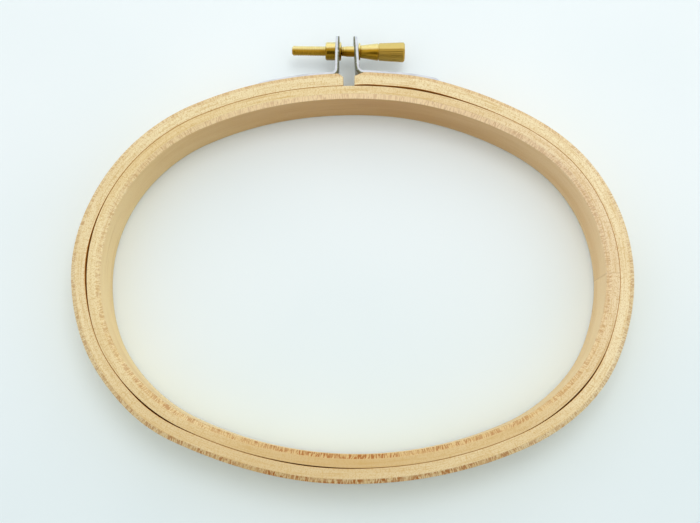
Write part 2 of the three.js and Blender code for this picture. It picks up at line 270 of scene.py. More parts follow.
class Recipe(Graph):
    """A Geometry Nodes tree with named inputs, run once to give a plain mesh."""

    def __init__(self, name: str) -> None:
        """Start an empty tree.

        Args:
            name: The tree's name.
        """
        super().__init__(bpy.data.node_groups.new(name, "GeometryNodeTree"))
        self.name = name
        self.values: dict[str, float] = {}
        self.tree.interface.new_socket("Geometry", in_out="INPUT", socket_type="NodeSocketGeometry")
        self.tree.interface.new_socket("Geometry", in_out="OUTPUT", socket_type="NodeSocketGeometry")
        self.source = self.tree.nodes.new("NodeGroupInput")

    def take(self, name: str, kind: str, value: float) -> Field:
        """Add a named input.

        Args:
            name: The input's name.
            kind: Its socket's type name.
            value: What it is set to.

        Returns:
            The input as a field.
        """
        socket = self.tree.interface.new_socket(name, in_out="INPUT", socket_type=kind)
        self.values[socket.identifier] = value
        return Field(self, self.source.outputs[name])

    def number(self, name: str, value: float) -> Field:
        """A named input for a length, angle or share."""
        return self.take(name, "NodeSocketFloat", float(value))

    def count(self, name: str, value: int) -> Field:
        """A named input for a whole number."""
        return self.take(name, "NodeSocketInt", int(value))

    def sizes(self, thing: object, *names: str) -> dict[str, Field]:
        """Named inputs for some of an object's sizes, by the sizes' names."""
        return {name: self.number(name.replace("_", " ").title(), getattr(thing, name)) for name in names}

    def index(self) -> Field:
        """The number of each point."""
        return Field(self, self.add("GeometryNodeInputIndex").outputs[0])

    def place(self) -> Field:
        """Where each point is."""
        return Field(self, self.add("GeometryNodeInputPosition").outputs[0])

    def switch(self, index: Field, choices: list[Field]) -> Field:
        """Pick one vector of a list by its number.

        Args:
            index: Which one to pick.
            choices: The vectors to pick from.

        Returns:
            The vector picked.
        """
        node = self.add("GeometryNodeIndexSwitch", data_type="VECTOR")
        while len(node.index_switch_items) < len(choices):
            node.index_switch_items.new()
        self.fill(node.inputs["Index"], index)
        for number, choice in enumerate(choices):
            self.fill(node.inputs[number + 1], choice)
        return Field(self, node.outputs[0])

    def run(self, geometry: bpy.types.NodeSocket, finish: bpy.types.Material,
            blank: bpy.types.Mesh | None = None) -> bpy.types.Mesh:
        """Close the tree and turn its result into a mesh.

        Args:
            geometry: What the tree has made.
            finish: The material that the result wears.
            blank: The mesh that goes into the tree, if it works on one.

        Returns:
            The plain mesh.
        """
        real = self.add("GeometryNodeRealizeInstances", {0: geometry})
        dressed = self.add("GeometryNodeSetMaterial", {"Geometry": real.outputs[0], "Material": finish})
        self.add("NodeGroupOutput", {0: dressed.outputs[0]})
        holder = bpy.data.objects.new(self.name, blank or bpy.data.meshes.new(self.name))
        bpy.context.scene.collection.objects.link(holder)
        modifier = holder.modifiers.new(self.name, "NODES")
        modifier.node_group = self.tree
        for identifier, value in self.values.items():
            modifier[identifier] = value
        mesh = plain_mesh(holder)
        holder.modifiers.remove(modifier)
        bpy.data.objects.remove(holder)
        return mesh


def plain_mesh(thing: bpy.types.Object) -> bpy.types.Mesh:
    """Turn an object, with its modifiers, into a plain mesh.

    Args:
        thing: The object to convert.

    Returns:
        A new mesh.
    """
    graph = bpy.context.evaluated_depsgraph_get()
    graph.update()
    shown = thing.evaluated_get(graph)
    return bpy.data.meshes.new_from_object(shown, preserve_all_data_layers=True, depsgraph=graph)


def tidy_mesh(mesh: bpy.types.Mesh) -> None:
    """Close seams and poles, turn every face outwards and shade smoothly.

    Args:
        mesh: The mesh to tidy.
    """
    work = bmesh.new()
    work.from_mesh(mesh)
    bmesh.ops.remove_doubles(work, verts=work.verts, dist=WELD)
    bmesh.ops.dissolve_degenerate(work, edges=work.edges, dist=WELD)
    bmesh.ops.recalc_face_normals(work, faces=work.faces)
    for face in work.faces:
        face.smooth = True
    work.to_mesh(mesh)
    work.free()


def make_piece(name: str, mesh: bpy.types.Mesh) -> bpy.types.Object:
    """Put a mesh in the scene as a finished piece at the origin, with its large faces shaded flat.

    Args:
        name: The piece's name.
        mesh: Its mesh, already in place.

    Returns:
        The piece.
    """
    tidy_mesh(mesh)
    piece = bpy.data.objects.new(name, mesh)
    bpy.context.scene.collection.objects.link(piece)
    modifier = piece.modifiers.new("even_faces", "WEIGHTED_NORMAL")
    modifier.weight = 80
    even = plain_mesh(piece)
    piece.modifiers.remove(modifier)
    piece.data = even
    piece.data.name = name
    return piece


def describe(piece: bpy.types.Object) -> None:
    """Log a finished piece's name and how many triangles it has."""
    triangles = sum(len(face.vertices) - 2 for face in piece.data.polygons)
    log.info("%s: %d triangles", piece.name, triangles)


# The strips' cut, and the finishes


@dataclass(frozen=True)
class Section:
    """A wooden strip cut across. Offsets are measured outwards from the window's line."""

    inside: float
    outside: float
    chamfer_outside: bool
    depth: float = 16.0 * MM
    chamfer: float = 1.3 * MM
    chamfer_drop: float = 0.85 * MM


@dataclass(frozen=True)
class Beech:
    """Bare sanded beech, bent along its grain.

    Lengths are in millimetres, and places along the strip are measured from the oval's right end by
    way of the far side.
    """

    pale: Colour = paint(242, 228, 184)
    warm: Colour = paint(230, 209, 160)
    # Darker and browner about the near side: partly the wood's tone, partly painted shade
    near_tone_and_shade: Colour = paint(206, 177, 124)
    streak: Colour = paint(204, 168, 100)
    fleck: Colour = paint(166, 102, 34)
    # Colour laid on the far side's chamfer: painted shade on the outer hoop, painted light on the inner
    # hoop
    far_chamfer_painted_shading: Colour = paint(214, 186, 134)
    end_grain: Colour = paint(238, 216, 174)
    joint: Colour = paint(130, 88, 46)
    side_tint: Colour = (1.02, 0.95, 0.83, 1.0)
    # Multiplied over the far side's walls: painted shade
    far_wall_painted_shade: Colour = (0.66, 0.5, 0.33, 1.0)
    # Multiplied into the crevice between the hoops: painted shade
    gap_painted_shade_tint: Colour = (0.74, 0.38, 0.06, 1.0)
    blush_tint: Colour = (1.06, 1.07, 1.14, 1.0)
    near_tone_and_shade_share: float = 0.6
    far_chamfer_painted_shading_share: float = 0.9
    far_share: float = 0.25
    fleck_share: float = 0.4
    roughness: float = 0.5
    joints: tuple[float, ...] = ()
    joint_width: float = 0.16
    joint_shift: float = 60.0
    gap_start: float = 2.4
    gap_full: float = 1.0
    near_side: float = 285.0
    near_spread: float = 52.0
    far_side: float = 95.0
    far_spread: float = 60.0
    blush_place: float = 22.0
    blush_spread: float = 50.0
    seed: float = 0.0

    def material(self, name: str, section: Section) -> bpy.types.Material:
        """Make the wood for one strip.

        Args:
            name: The material's name.
            section: The strip's cut, which says where its faces are.

        Returns:
            The material.
        """
        material, graph, shader = new_material(name)
        strip = graph.add("ShaderNodeAttribute", attribute_name="strip")
        along, offset, height = graph.parts(Field(graph, strip.outputs["Vector"]))

        # Where a point is on the strip's cut
        from_inside = offset - section.inside / MM
        from_outside = section.outside / MM - offset
        from_cut, from_gap = from_inside, from_outside
        if section.chamfer_outside:
            from_cut, from_gap = from_outside, from_inside
        from_side = from_inside.least(from_outside)
        from_rim = height.least(section.depth / MM - height)
        width, drop = section.chamfer / MM, section.chamfer_drop / MM
        chamfer = from_cut.smooth(width + 0.1, width - 0.1) * from_rim.smooth(0.02, 0.08)
        chamfer = chamfer * from_rim.smooth(drop + 0.15, drop - 0.05)
        end = from_side.least(from_rim).smooth(0.68, 0.8)
        wall = from_cut.smooth(0.3, 0.1) * from_rim.smooth(drop - 0.1, drop + 0.4)
        hidden = from_gap.smooth(0.12, 0.02)
        depth = section.depth / MM
        # Painted shade on the face towards the other hoop, near its top, where the crevice between the
        # hoops is
        gap = hidden * height.smooth(depth - self.gap_start, depth - self.gap_full)
        faces = wall.most(hidden)

        # Where it is along the strip
        half_turn = self.near_side - self.far_side
        near, far, right = (
            (along - place).math("WRAP", half_turn, -half_turn).bell(0.0, spread)
            for place, spread in (
                (self.near_side, self.near_spread),
                (self.far_side, self.far_spread),
                (self.blush_place, self.blush_spread),
            )
        )
        seeded = along + self.seed
        for place in self.joints:
            seeded = seeded + (along - place).math("GREATER_THAN", 0.0) * self.joint_shift

        # Patterns: broad patches, bands, fibres, flecks and pores
        broad = graph.noise(graph.vector(seeded * 0.02, offset * 0.12, height * 0.1), 1.0, 3.0)
        bands = graph.noise(graph.vector(seeded * 0.03, offset * 0.9, height * 0.55), 1.0, 3.0, 0.6)
        fibres = graph.noise(graph.vector(seeded * 0.1, offset * 2.4, height * 2.4), 1.0, 4.0, 0.7)
        mottle = graph.noise(graph.vector(seeded * 1.7, offset * 0.7, height * 0.5), 1.0, 3.0, 0.65)
        clusters = graph.noise(graph.vector(seeded * 0.2, from_cut * 0.5, height * 0.05 + 7.0), 1.0, 2.0)
        slanted = seeded + from_cut * (clusters - 0.5) * 1.2
        ticks = graph.noise(graph.vector(slanted * 4.2, from_cut * 0.7, height * 0.1 + 3.0), 1.0, 0.6, 0.5)
        dots = graph.noise(graph.vector(seeded * 3.3, offset * 3.0, height * 3.0), 1.0, 1.0, 0.5)
        specks = graph.noise(graph.vector(seeded * 0.6, offset * 3.4, height * 2.2 + 5.0), 1.0, 1.0)
        pores = graph.noise(graph.vector(offset * 7.0, height * 7.0, seeded * 3.0), 1.0, 3.0, 0.7)

        # Colour: patterns with a near tone that is partly painted shade, painted light and shade on the far
        # chamfer, each face's tint with painted shade on the far walls, the flecks, painted shade in the
        # gap, the cut ends and the joints
        colour = graph.mix(broad.smooth(0.35, 0.7), self.pale, self.warm)
        colour = graph.mix(far * self.far_share, colour, self.warm)
        # The near side is toned darker and browner: partly the wood's tone, partly painted shade
        colour = graph.mix(near * (1.0 - wall * 0.8) * self.near_tone_and_shade_share, colour, self.near_tone_and_shade)
        colour = graph.mix(bands.smooth(0.5, 0.78) * 0.3, colour, self.streak)
        colour = graph.mix(fibres.smooth(0.46, 0.72) * (1.0 - faces * 0.7) * 0.7, colour, self.streak)
        colour = graph.mix(mottle.smooth(0.48, 0.72) * (1.0 - faces * 0.85) * 0.65, colour, self.streak)
        colour = graph.mix(dots.smooth(0.48, 0.7) * (1.0 - faces * 0.75) * 0.65, colour, self.streak)
        # The far chamfer is recoloured: painted light on the inner hoop, painted shade on the outer hoop
        colour = graph.mix(chamfer * far * self.far_chamfer_painted_shading_share, colour, self.far_chamfer_painted_shading)
        colour = graph.mix(wall, colour, self.side_tint, "MULTIPLY")
        # The far side's walls are painted darker: painted shade
        colour = graph.mix(wall * far, colour, self.far_wall_painted_shade, "MULTIPLY")
        colour = graph.mix(right, colour, self.blush_tint, "MULTIPLY")
        colour = graph.mix(specks.smooth(0.74, 0.8) * wall * 0.2, colour, self.fleck)
        rays = (ticks + near * 0.03).smooth(0.47, 0.58) * (clusters.smooth(0.34, 0.58) * 0.5 + 0.5)
        rays = rays * chamfer * (near * 0.66 + self.fleck_share)
        colour = graph.mix(rays, colour, self.fleck)
        # The crevice between the hoops is painted darker: painted shade
        colour = graph.mix(gap, colour, self.gap_painted_shade_tint, "MULTIPLY")
        cut = graph.mix(pores.smooth(0.45, 0.7), self.end_grain, self.streak)
        colour = graph.mix(end, colour, cut)
        for place in self.joints:
            line = (along - place).bell(0.0, self.joint_width) * (0.12 + wall * 0.08)
            colour = graph.mix(line, colour, self.joint)
        graph.fill(shader.inputs["Base Color"], colour)
        graph.fill(shader.inputs["Roughness"], self.roughness + rays * 0.12 + (fibres - 0.5) * 0.25)
        relief = fibres * 0.6 + mottle * 0.4 - rays * 0.5
        bump(graph, shader, relief, 0.35, 0.05 * MM)
        return material


@dataclass(frozen=True)
class Turned:
    """Bright brass, turned on a lathe about the screw's axis.

    It is painted darker below its axis and on the hoop's side: painted shade and dark reflection.
    Its knob is painted darker too: painted shade in the knurl.
    """

    bright: Colour = paint(246, 230, 160)
    dull: Colour = paint(236, 214, 132)
    # The colour laid below the axis and on the hoop's side: painted shade and dark reflection
    deep: Colour = paint(180, 137, 24)
    # The knob's darker colour: painted shade in the knurl
    knurl_painted_shade: Colour = paint(216, 192, 108)
    stain: Colour = paint(150, 104, 24)
    roughness: float = 0.3
    lacquer: float = 0.25
    seed: float = 0.0

    def material(self, name: str) -> bpy.types.Material:
        """Make the brass.

        Args:
            name: The material's name.

        Returns:
            The material.
        """
        material, graph, shader = new_material(name)
        x, y, z = millimetres(graph)
        patches = graph.noise(graph.vector(x * 0.5 + self.seed, y * 0.9, z * 0.9), 1.0, 3.0, 0.6)
        rings = graph.noise(graph.vector(x * 9.0 + self.seed, y * 0.1, z * 0.1), 1.0, 3.0, 0.7)
        spots = graph.noise(graph.vector(x * 3.0, y * 3.0 + self.seed, z * 3.0), 1.0, 3.0, 0.6)
        colour = graph.mix(patches.smooth(0.4, 0.75), self.bright, self.dull)
        side = y - screw_axis().y / MM + (patches - 0.5) * 0.5
        below = (z - screw_axis().z / MM).smooth(-0.1, -1.3)
        knob = (x - screw_axis().x / MM).smooth(5.0, 5.5)
        # The knob is painted darker: painted shade in its knurl
        colour = graph.mix(knob * 0.8, colour, self.knurl_painted_shade)
        # Painted shade and dark reflection below the axis and on the hoop's side
        painted_shade_share = side.smooth(0.35, -0.4).most(below) * (1.0 - knob * 0.2)
        colour = graph.mix(painted_shade_share, colour, self.deep)
        colour = graph.mix(spots.smooth(0.62, 0.8) * 0.35, colour, self.stain)
        graph.fill(shader.inputs["Base Color"], colour)
        shader.inputs["Metallic"].default_value = 1.0
        rough = self.roughness + (rings - 0.5) * 0.14 + spots.smooth(0.55, 0.8) * 0.15
        graph.fill(shader.inputs["Roughness"], rough)
        shader.inputs["Coat Weight"].default_value = self.lacquer
        shader.inputs["Coat Roughness"].default_value = 0.2
        bump(graph, shader, rings * 0.7 + spots * 0.3, 0.16, 0.02 * MM)
        return material


@dataclass(frozen=True)
class Plated:
    """Nickel plate on steel, rubbed along the sheet.

    The half of each cut edge towards the wood is painted dark in patches, as painted shade, and the face
    towards the wood is painted dull and dark, as painted shade and dark reflection. The attribute
    "layer" says how far a point is from the sheet's middle, in millimetres towards the wood.
    """

    bright: Colour = paint(222, 226, 232)
    rubbed: Colour = paint(205, 208, 213)
    worn: Colour = paint(160, 156, 146)
    # Painted shade on the half of the edge towards the wood
    edge_painted_shade: Colour = paint(112, 114, 84)
    # The face towards the wood: painted shade and dark reflection
    inside: Colour = paint(150, 145, 122)
    roughness: float = 0.36
    seed: float = 0.0

    def material(self, name: str) -> bpy.types.Material:
        """Make the plate.

        Args:
            name: The material's name.

        Returns:
            The material.
        """
        material, graph, shader = new_material(name)
        x, y, z = millimetres(graph)
        cloud = graph.noise(graph.vector(x * 0.25 + self.seed, y * 0.4, z * 0.4), 1.0, 3.0, 0.6)
        rubs = graph.noise(graph.vector(x * 0.7, y * 0.7, z * 9.0 + self.seed), 1.0, 4.0, 0.7)
        nicks = graph.noise(graph.vector(x * 2.4, y * 2.4 + self.seed, z * 2.4), 1.0, 4.0, 0.65)
        colour = graph.mix(cloud.smooth(0.4, 0.7), self.bright, self.rubbed)
        colour = graph.mix(nicks.smooth(0.64, 0.78) * 0.5, colour, self.worn)
        layer = Field(graph, graph.add("ShaderNodeAttribute", attribute_name="layer").outputs["Fac"])
        # The half of the edge towards the wood is painted dark in patches: painted shade
        edge = layer.smooth(0.05, 0.2) * layer.smooth(0.56, 0.5)
        colour = graph.mix(edge * nicks.smooth(0.2, 0.5), colour, self.edge_painted_shade)
        # The face towards the wood is painted dull and dark: painted shade and dark reflection
        colour = graph.mix(layer.smooth(0.54, 0.57) * 0.85, colour, self.inside)
        graph.fill(shader.inputs["Base Color"], colour)
        shader.inputs["Metallic"].default_value = 1.0
        rough = self.roughness + (rubs - 0.5) * 0.2 + nicks.smooth(0.6, 0.8) * 0.2
        graph.fill(shader.inputs["Roughness"], rough)
        bump(graph, shader, rubs * 0.6 + nicks * 0.4, 0.12, 0.02 * MM)
        return material


@dataclass(frozen=True)
class Board:
    """The pale matt board that the hoop lies on, with painted shade towards the near side and soft random
    clouds of darker tone.
    """

    tone: Colour = paint(239, 248, 250)
    # Darker tone: painted shade towards the near side, and the board's random clouds
    painted_shade_and_cloud: Colour = paint(226, 239, 241)

    def material(self, name: str) -> bpy.types.Material:
        """Make the board.

        Args:
            name: The material's name.

        Returns:
            The material.
        """
        material, graph, shader = new_material(name)
        x, y, z = millimetres(graph)
        cloud = graph.noise(graph.vector(x * 0.012, y * 0.012, z), 1.0, 2.0)
        tooth = graph.noise(graph.vector(x * 2.0, y * 2.0, z), 1.0, 3.0)
        # Painted shade towards the near side, plus random clouds of darker tone
        painted_shade_and_cloud_share = y.smooth(50.0, -85.0) * 0.75 + cloud.smooth(0.35, 0.7) * 0.25
        colour = graph.mix(painted_shade_and_cloud_share, self.tone, self.painted_shade_and_cloud)
        graph.fill(shader.inputs["Base Color"], colour)
        graph.fill(shader.inputs["Roughness"], 0.75 + (tooth - 0.5) * 0.1)
        shader.inputs["Specular IOR Level"].default_value = 0.2
        bump(graph, shader, tooth, 0.05, 0.03 * MM)
        return material


def new_material(name: str) -> tuple[bpy.types.Material, Graph, bpy.types.Node]:
    """Start a material with its shader.

    Args:
        name: The material's name.

    Returns:
        The material, its graph, and its shader node.
    """
    material = bpy.data.materials.new(name)
    material.use_nodes = True
    material.node_tree.nodes.clear()
    graph = Graph(material.node_tree)
    shader = graph.add("ShaderNodeBsdfPrincipled")
    graph.add("ShaderNodeOutputMaterial", {"Surface": shader.outputs[0]})
    return material, graph, shader


def millimetres(graph: Graph) -> tuple[Field, Field, Field]:
    """The piece's own coordinates.

    Args:
        graph: The material's graph.

    Returns:
        Its x, y and z in millimetres.
    """
    place = graph.add("ShaderNodeTexCoord").outputs["Object"]
    x, y, z = graph.parts(Field(graph, place))
    return x / MM, y / MM, z / MM


def bump(graph: Graph, shader: bpy.types.Node, height: Field, strength: float, distance: float) -> None:
    """Give a shader a fine relief.

    Args:
        graph: The material's graph.
        shader: The shader to press it into.
        height: The relief, about 0 to 1.
        strength: How much of it shows.
        distance: The relief's height in metres.
    """
    sockets = {"Strength": strength, "Distance": distance, "Height": height}
    node = graph.add("ShaderNodeBump", sockets)
    graph.fill(shader.inputs["Normal"], node.outputs["Normal"])


# The oval and the two hoops


class Side(Enum):
    """The two sides of the split."""

    LEFT = -1
    RIGHT = 1


@dataclass(frozen=True)
class Lobe:
    """A place where a bent strip stands a little out of the true oval."""

    bearing: float
    spread: float
    height: float

    def at(self, bearing: float) -> float:
        """How far the strip stands out at a bearing in degrees."""
        away = (bearing - self.bearing + 180.0) % 360.0 - 180.0
        return self.height * math.exp(-((away / self.spread) ** 2))

    def over(self, bearing: Field) -> Field:
        """How far the strip stands out, at bearings in degrees given by a field."""
        away = (bearing - self.bearing).math("WRAP", 180.0, -180.0)
        return away.bell(0.0, self.spread) * self.height


WANDER = (
    Lobe(38.0, 10.0, -0.45 * MM),
    Lobe(72.0, 16.0, 0.3 * MM),
    Lobe(150.0, 18.0, -0.4 * MM),
    Lobe(197.0, 9.0, 0.4 * MM),
    Lobe(340.0, 8.0, 0.35 * MM),
)
OPENINGS = (
    Lobe(71.0, 14.0, 0.5 * MM),
    Lobe(87.0, 4.0, 0.26 * MM),
    Lobe(179.0, 10.0, 0.48 * MM),
    Lobe(215.0, 8.0, 0.34 * MM),
    Lobe(258.0, 14.0, 0.2 * MM),
    Lobe(333.0, 9.0, 0.34 * MM),
)


@dataclass(frozen=True)
class Oval:
    """The window's line: two end arcs and two side arcs that run into each other."""

    length: float = 140.0 * MM
    width: float = 99.8 * MM
    sweep: float = math.radians(66.0)
    middle: float = sum(corner.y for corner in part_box("inner_hoop")) / 2.0

    @property
    def end_centre(self) -> float:
        """How far an end arc's centre is from the middle, along X."""
        return (self.length - self.width) / 2.0 / (1.0 + math.tan(self.sweep) - 1.0 / math.cos(self.sweep))

    @property
    def side_centre(self) -> float:
        """How far a side arc's centre is from the middle, along Y."""
        return self.end_centre * math.tan(self.sweep)

    @property
    def end_radius(self) -> float:
        """The radius of an end arc."""
        return self.length / 2.0 - self.end_centre

    @property
    def side_radius(self) -> float:
        """The radius of a side arc."""
        return self.width / 2.0 + self.side_centre

    def point(self, angle: float, offset: float) -> Vector:
        """A point beside the window's line.

        Args:
            angle: The way that is outwards there, from +X.
            offset: How far outwards of the line the point is.

        Returns:
            The point, in the floor's plane.
        """
        outwards = Vector((math.cos(angle), math.sin(angle), 0.0))
        if abs(outwards.y) < math.sin(self.sweep):
            centre = Vector((math.copysign(self.end_centre, outwards.x), 0.0, 0.0))
            radius = self.end_radius
        else:
            centre = Vector((0.0, -math.copysign(self.side_centre, outwards.y), 0.0))
            radius = self.side_radius
        return centre + outwards * (radius + offset) + Vector((0.0, self.middle, 0.0))

    def far_angle(self, x: float, offset: float) -> float:
        """The outward angle where the far side, at this offset, has this x."""
        return math.acos(x / (self.side_radius + offset))

    def bearing(self, angle: float) -> float:
        """The bearing, in degrees from the middle, of the point whose outward angle this is."""
        place = self.point(angle, 0.0)
        return math.degrees(math.atan2(place.y - self.middle, place.x))

    def fields(self, angle: Field, offset: "Field | float",
               sizes: dict[str, Field]) -> tuple[Field, Field]:
        """The same point, worked out in a node tree.

        Args:
            angle: The outward angle.
            offset: How far outwards of the line the point is.
            sizes: The oval's sizes as named inputs of the tree.

        Returns:
            The point's x and y from the oval's middle.
        """
        across, up = angle.cosine(), angle.sine()
        on_end = up.size().below(math.sin(self.sweep))
        on_side = 1.0 - on_end
        reach = on_end * sizes["end_radius"] + on_side * sizes["side_radius"] + offset
        x = on_end * across.sign() * sizes["end_centre"] + across * reach
        y = up * reach - on_side * up.sign() * sizes["side_centre"]
        return x, y

    def arc(self, angle: Field, sizes: dict[str, Field]) -> Field:
        """The length of the window's line from its right end to an outward angle.

        Args:
            angle: The outward angle, from 0 to a turn and a half.
            sizes: The oval's sizes as named inputs of the tree.

        Returns:
            The length along the line.
        """
        side_sweep = math.pi - 2.0 * self.sweep
        starts = [turn * math.pi + self.sweep for turn in range(3)]
        on_sides = sum((angle - start).between(0.0, side_sweep) for start in starts)
        return angle * sizes["end_radius"] + on_sides * (sizes["side_radius"] - sizes["end_radius"])


@dataclass(frozen=True)
class Hoop:
    """What the two bent strips have in common."""

    oval: Oval
    section: Section
    wood: Beech
    edge_radius: float = 0.24 * MM
    gap_edge_radius: float = 0.1 * MM
    edge_steps: int = 3
    stations: int = 1300
    ripple: float = 0.03 * MM

    def corners(self, recipe: Recipe, cut: dict[str, Field]) -> list[Field]:
        """The corners of the strip's section, each as (offset, height, 0).

        Args:
            recipe: The tree that they are made in.
            cut: The section's sizes as named inputs of the tree.

        Returns:
            Six corners in order round the section.
        """
        inside, outside = cut["inside"], cut["outside"]
        depth, drop = cut["depth"], cut["chamfer_drop"]
        top = depth - drop
        if self.section.chamfer_outside:
            flat = outside - cut["chamfer"]
            places = [(inside, 0.0), (flat, 0.0), (outside, drop)]
            places += [(outside, top), (flat, depth), (inside, depth)]
        else:
            flat = inside + cut["chamfer"]
            places = [(flat, 0.0), (outside, 0.0), (outside, depth)]
            places += [(flat, depth), (inside, top), (inside, drop)]
        return [recipe.vector(offset, height, 0.0) for offset, height in places]

    def profile(self, recipe: Recipe, corners: list[Field]) -> tuple[bpy.types.NodeSocket, Field]:
        """The section as a closed line with softened corners.

        Args:
            recipe: The tree that it is made in.
            corners: The sharp corners.

        Returns:
            The line, and how many points it has.
        """
        circle = recipe.add("GeometryNodeCurvePrimitiveCircle", {"Resolution": len(corners)})
        places = recipe.switch(recipe.index(), corners)
        shaped = recipe.add("GeometryNodeSetPosition", {"Geometry": circle.outputs[0], "Position": places})
        soft = recipe.number("Edge Radius", self.edge_radius)
        crisp = recipe.number("Gap Edge Radius", self.gap_edge_radius)
        corner = recipe.index()
        # The two corners beside the gap between the hoops are crisper
        if self.section.chamfer_outside:
            by_gap = (corner - 2.5).size().math("GREATER_THAN", 2.0)
        else:
            by_gap = (corner - 1.5).size().below(1.0)
        radius = soft + by_gap * (crisp - soft)
        steps = recipe.count("Edge Steps", self.edge_steps)
        sockets = {"Curve": shaped.outputs[0], "Count": steps, "Radius": radius}
        rounded = recipe.add("GeometryNodeFilletCurve", sockets, mode="POLY").outputs[0]
        size = recipe.add("GeometryNodeAttributeDomainSize", {0: rounded}, component="CURVE")
        return rounded, Field(recipe, size.outputs["Point Count"])

    def shifted(self, bearing: Field) -> Field:
        """How far the strip stands out of the true oval, at bearings in degrees."""
        return sum(lobe.over(bearing) for lobe in WANDER)

    def angles(self, recipe: Recipe, station: Field, count: Field, offset: Field,
               height: Field) -> tuple[Field, Field, Field]:
        """Where each point of a closed strip goes.

        Args:
            recipe: The tree that it is made in.
            station: Each point's number along the strip.
            count: How many stations there are.
            offset: Each point's offset in the section.
            height: Each point's height in the section.

        Returns:
            The outward angle, and the offset and height to use there.
        """
        turn = recipe.number("Turn", 2.0 * math.pi)
        return station / (count - 1.0) * turn, offset, height

    def mesh(self, name: str) -> bpy.types.Mesh:
        """Build the strip in a node tree.

        Args:
            name: The name of the tree and its material.

        Returns:
            The finished mesh.
        """
        recipe = Recipe(name)
        sizes = recipe.sizes(self.oval, "end_centre", "side_centre", "end_radius", "side_radius")
        cut = recipe.sizes(self.section, "inside", "outside", "depth", "chamfer", "chamfer_drop")
        ripple = recipe.number("Ripple", self.ripple)
        line, around = self.profile(recipe, self.corners(recipe, cut))
        count = recipe.count("Stations", self.stations)
        grid = recipe.add("GeometryNodeMeshGrid", {"Vertices X": count, "Vertices Y": around + 1.0})
        number = recipe.index()
        station = ((number + 0.5) / (around + 1.0)).floor()
        around_section = number - station * (around + 1.0)
        sockets = {"Geometry": line, "Value": recipe.place()}
        vectors = {"data_type": "FLOAT_VECTOR", "domain": "POINT"}
        sampled = recipe.add("GeometryNodeSampleIndex", sockets, **vectors)
        recipe.fill(sampled.inputs["Index"], around_section - (around_section / around).floor() * around)
        offset, height, _ = recipe.parts(Field(recipe, sampled.outputs[0]))
        angle, offset, height = self.angles(recipe, station, count, offset, height)

        line_x, line_y = self.oval.fields(angle, 0.0, sizes)
        bearing = line_y.math("ARCTAN2", line_x) * math.degrees(1.0)
        waves = recipe.noise(recipe.vector(line_x, line_y, height), 120.0, 2.0) - 0.5
        moved = offset + self.shifted(bearing) + waves * ripple
        x, y = self.oval.fields(angle, moved, sizes)
        position = recipe.vector(x, y + self.oval.middle, height)
        strip = recipe.vector(self.oval.arc(angle, sizes) / MM, offset / MM, height / MM)
        on_points = recipe.add("GeometryNodeFieldOnDomain", {0: strip}, **vectors)
        kept = recipe.add(
            "GeometryNodeStoreNamedAttribute",
            {"Geometry": grid.outputs[0], "Name": "strip", "Value": on_points.outputs[0]},
            data_type="FLOAT_VECTOR",
            domain="CORNER",
        )
        bent = recipe.add("GeometryNodeSetPosition", {"Geometry": kept.outputs[0], "Position": position})
        closed = recipe.add("GeometryNodeMergeByDistance", {0: bent.outputs[0], "Distance": WELD})
        return recipe.run(closed.outputs[0], self.wood.material(name, self.section))


@dataclass(frozen=True)
class InnerHoop(Hoop):
    """The closed strip round the window."""

    section: Section = Section(inside=0.0, outside=3.6 * MM, chamfer_outside=False)
    wood: Beech = Beech(
        pale=paint(241, 225, 178),
        warm=paint(229, 206, 153),
        near_tone_and_shade=paint(203, 168, 107),
        # The inner hoop's far chamfer is painted lighter: painted light
        far_chamfer_painted_shading=paint(255, 229, 184),
        gap_painted_shade_tint=(0.8, 0.68, 0.5, 1.0),
        blush_tint=(0.975, 0.935, 1.02, 1.0),
        far_share=0.0,
        near_tone_and_shade_share=0.75,
        fleck_share=0.32,
        joints=(0.4,),
        seed=31.0,
    )

    def build(self) -> bpy.types.Object:
        """Make the strip and set it on its body.

        Returns:
            The finished piece.
        """
        piece = make_piece("inner_strip", self.mesh("beech_inner"))
        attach(piece, "inner")
        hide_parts("inner_hoop")
        return piece


@dataclass(frozen=True)
class EndCut:
    """How an end of the outer strip is cut, with its outer corner bevelled."""

    x: float
    along: float
    deep: float


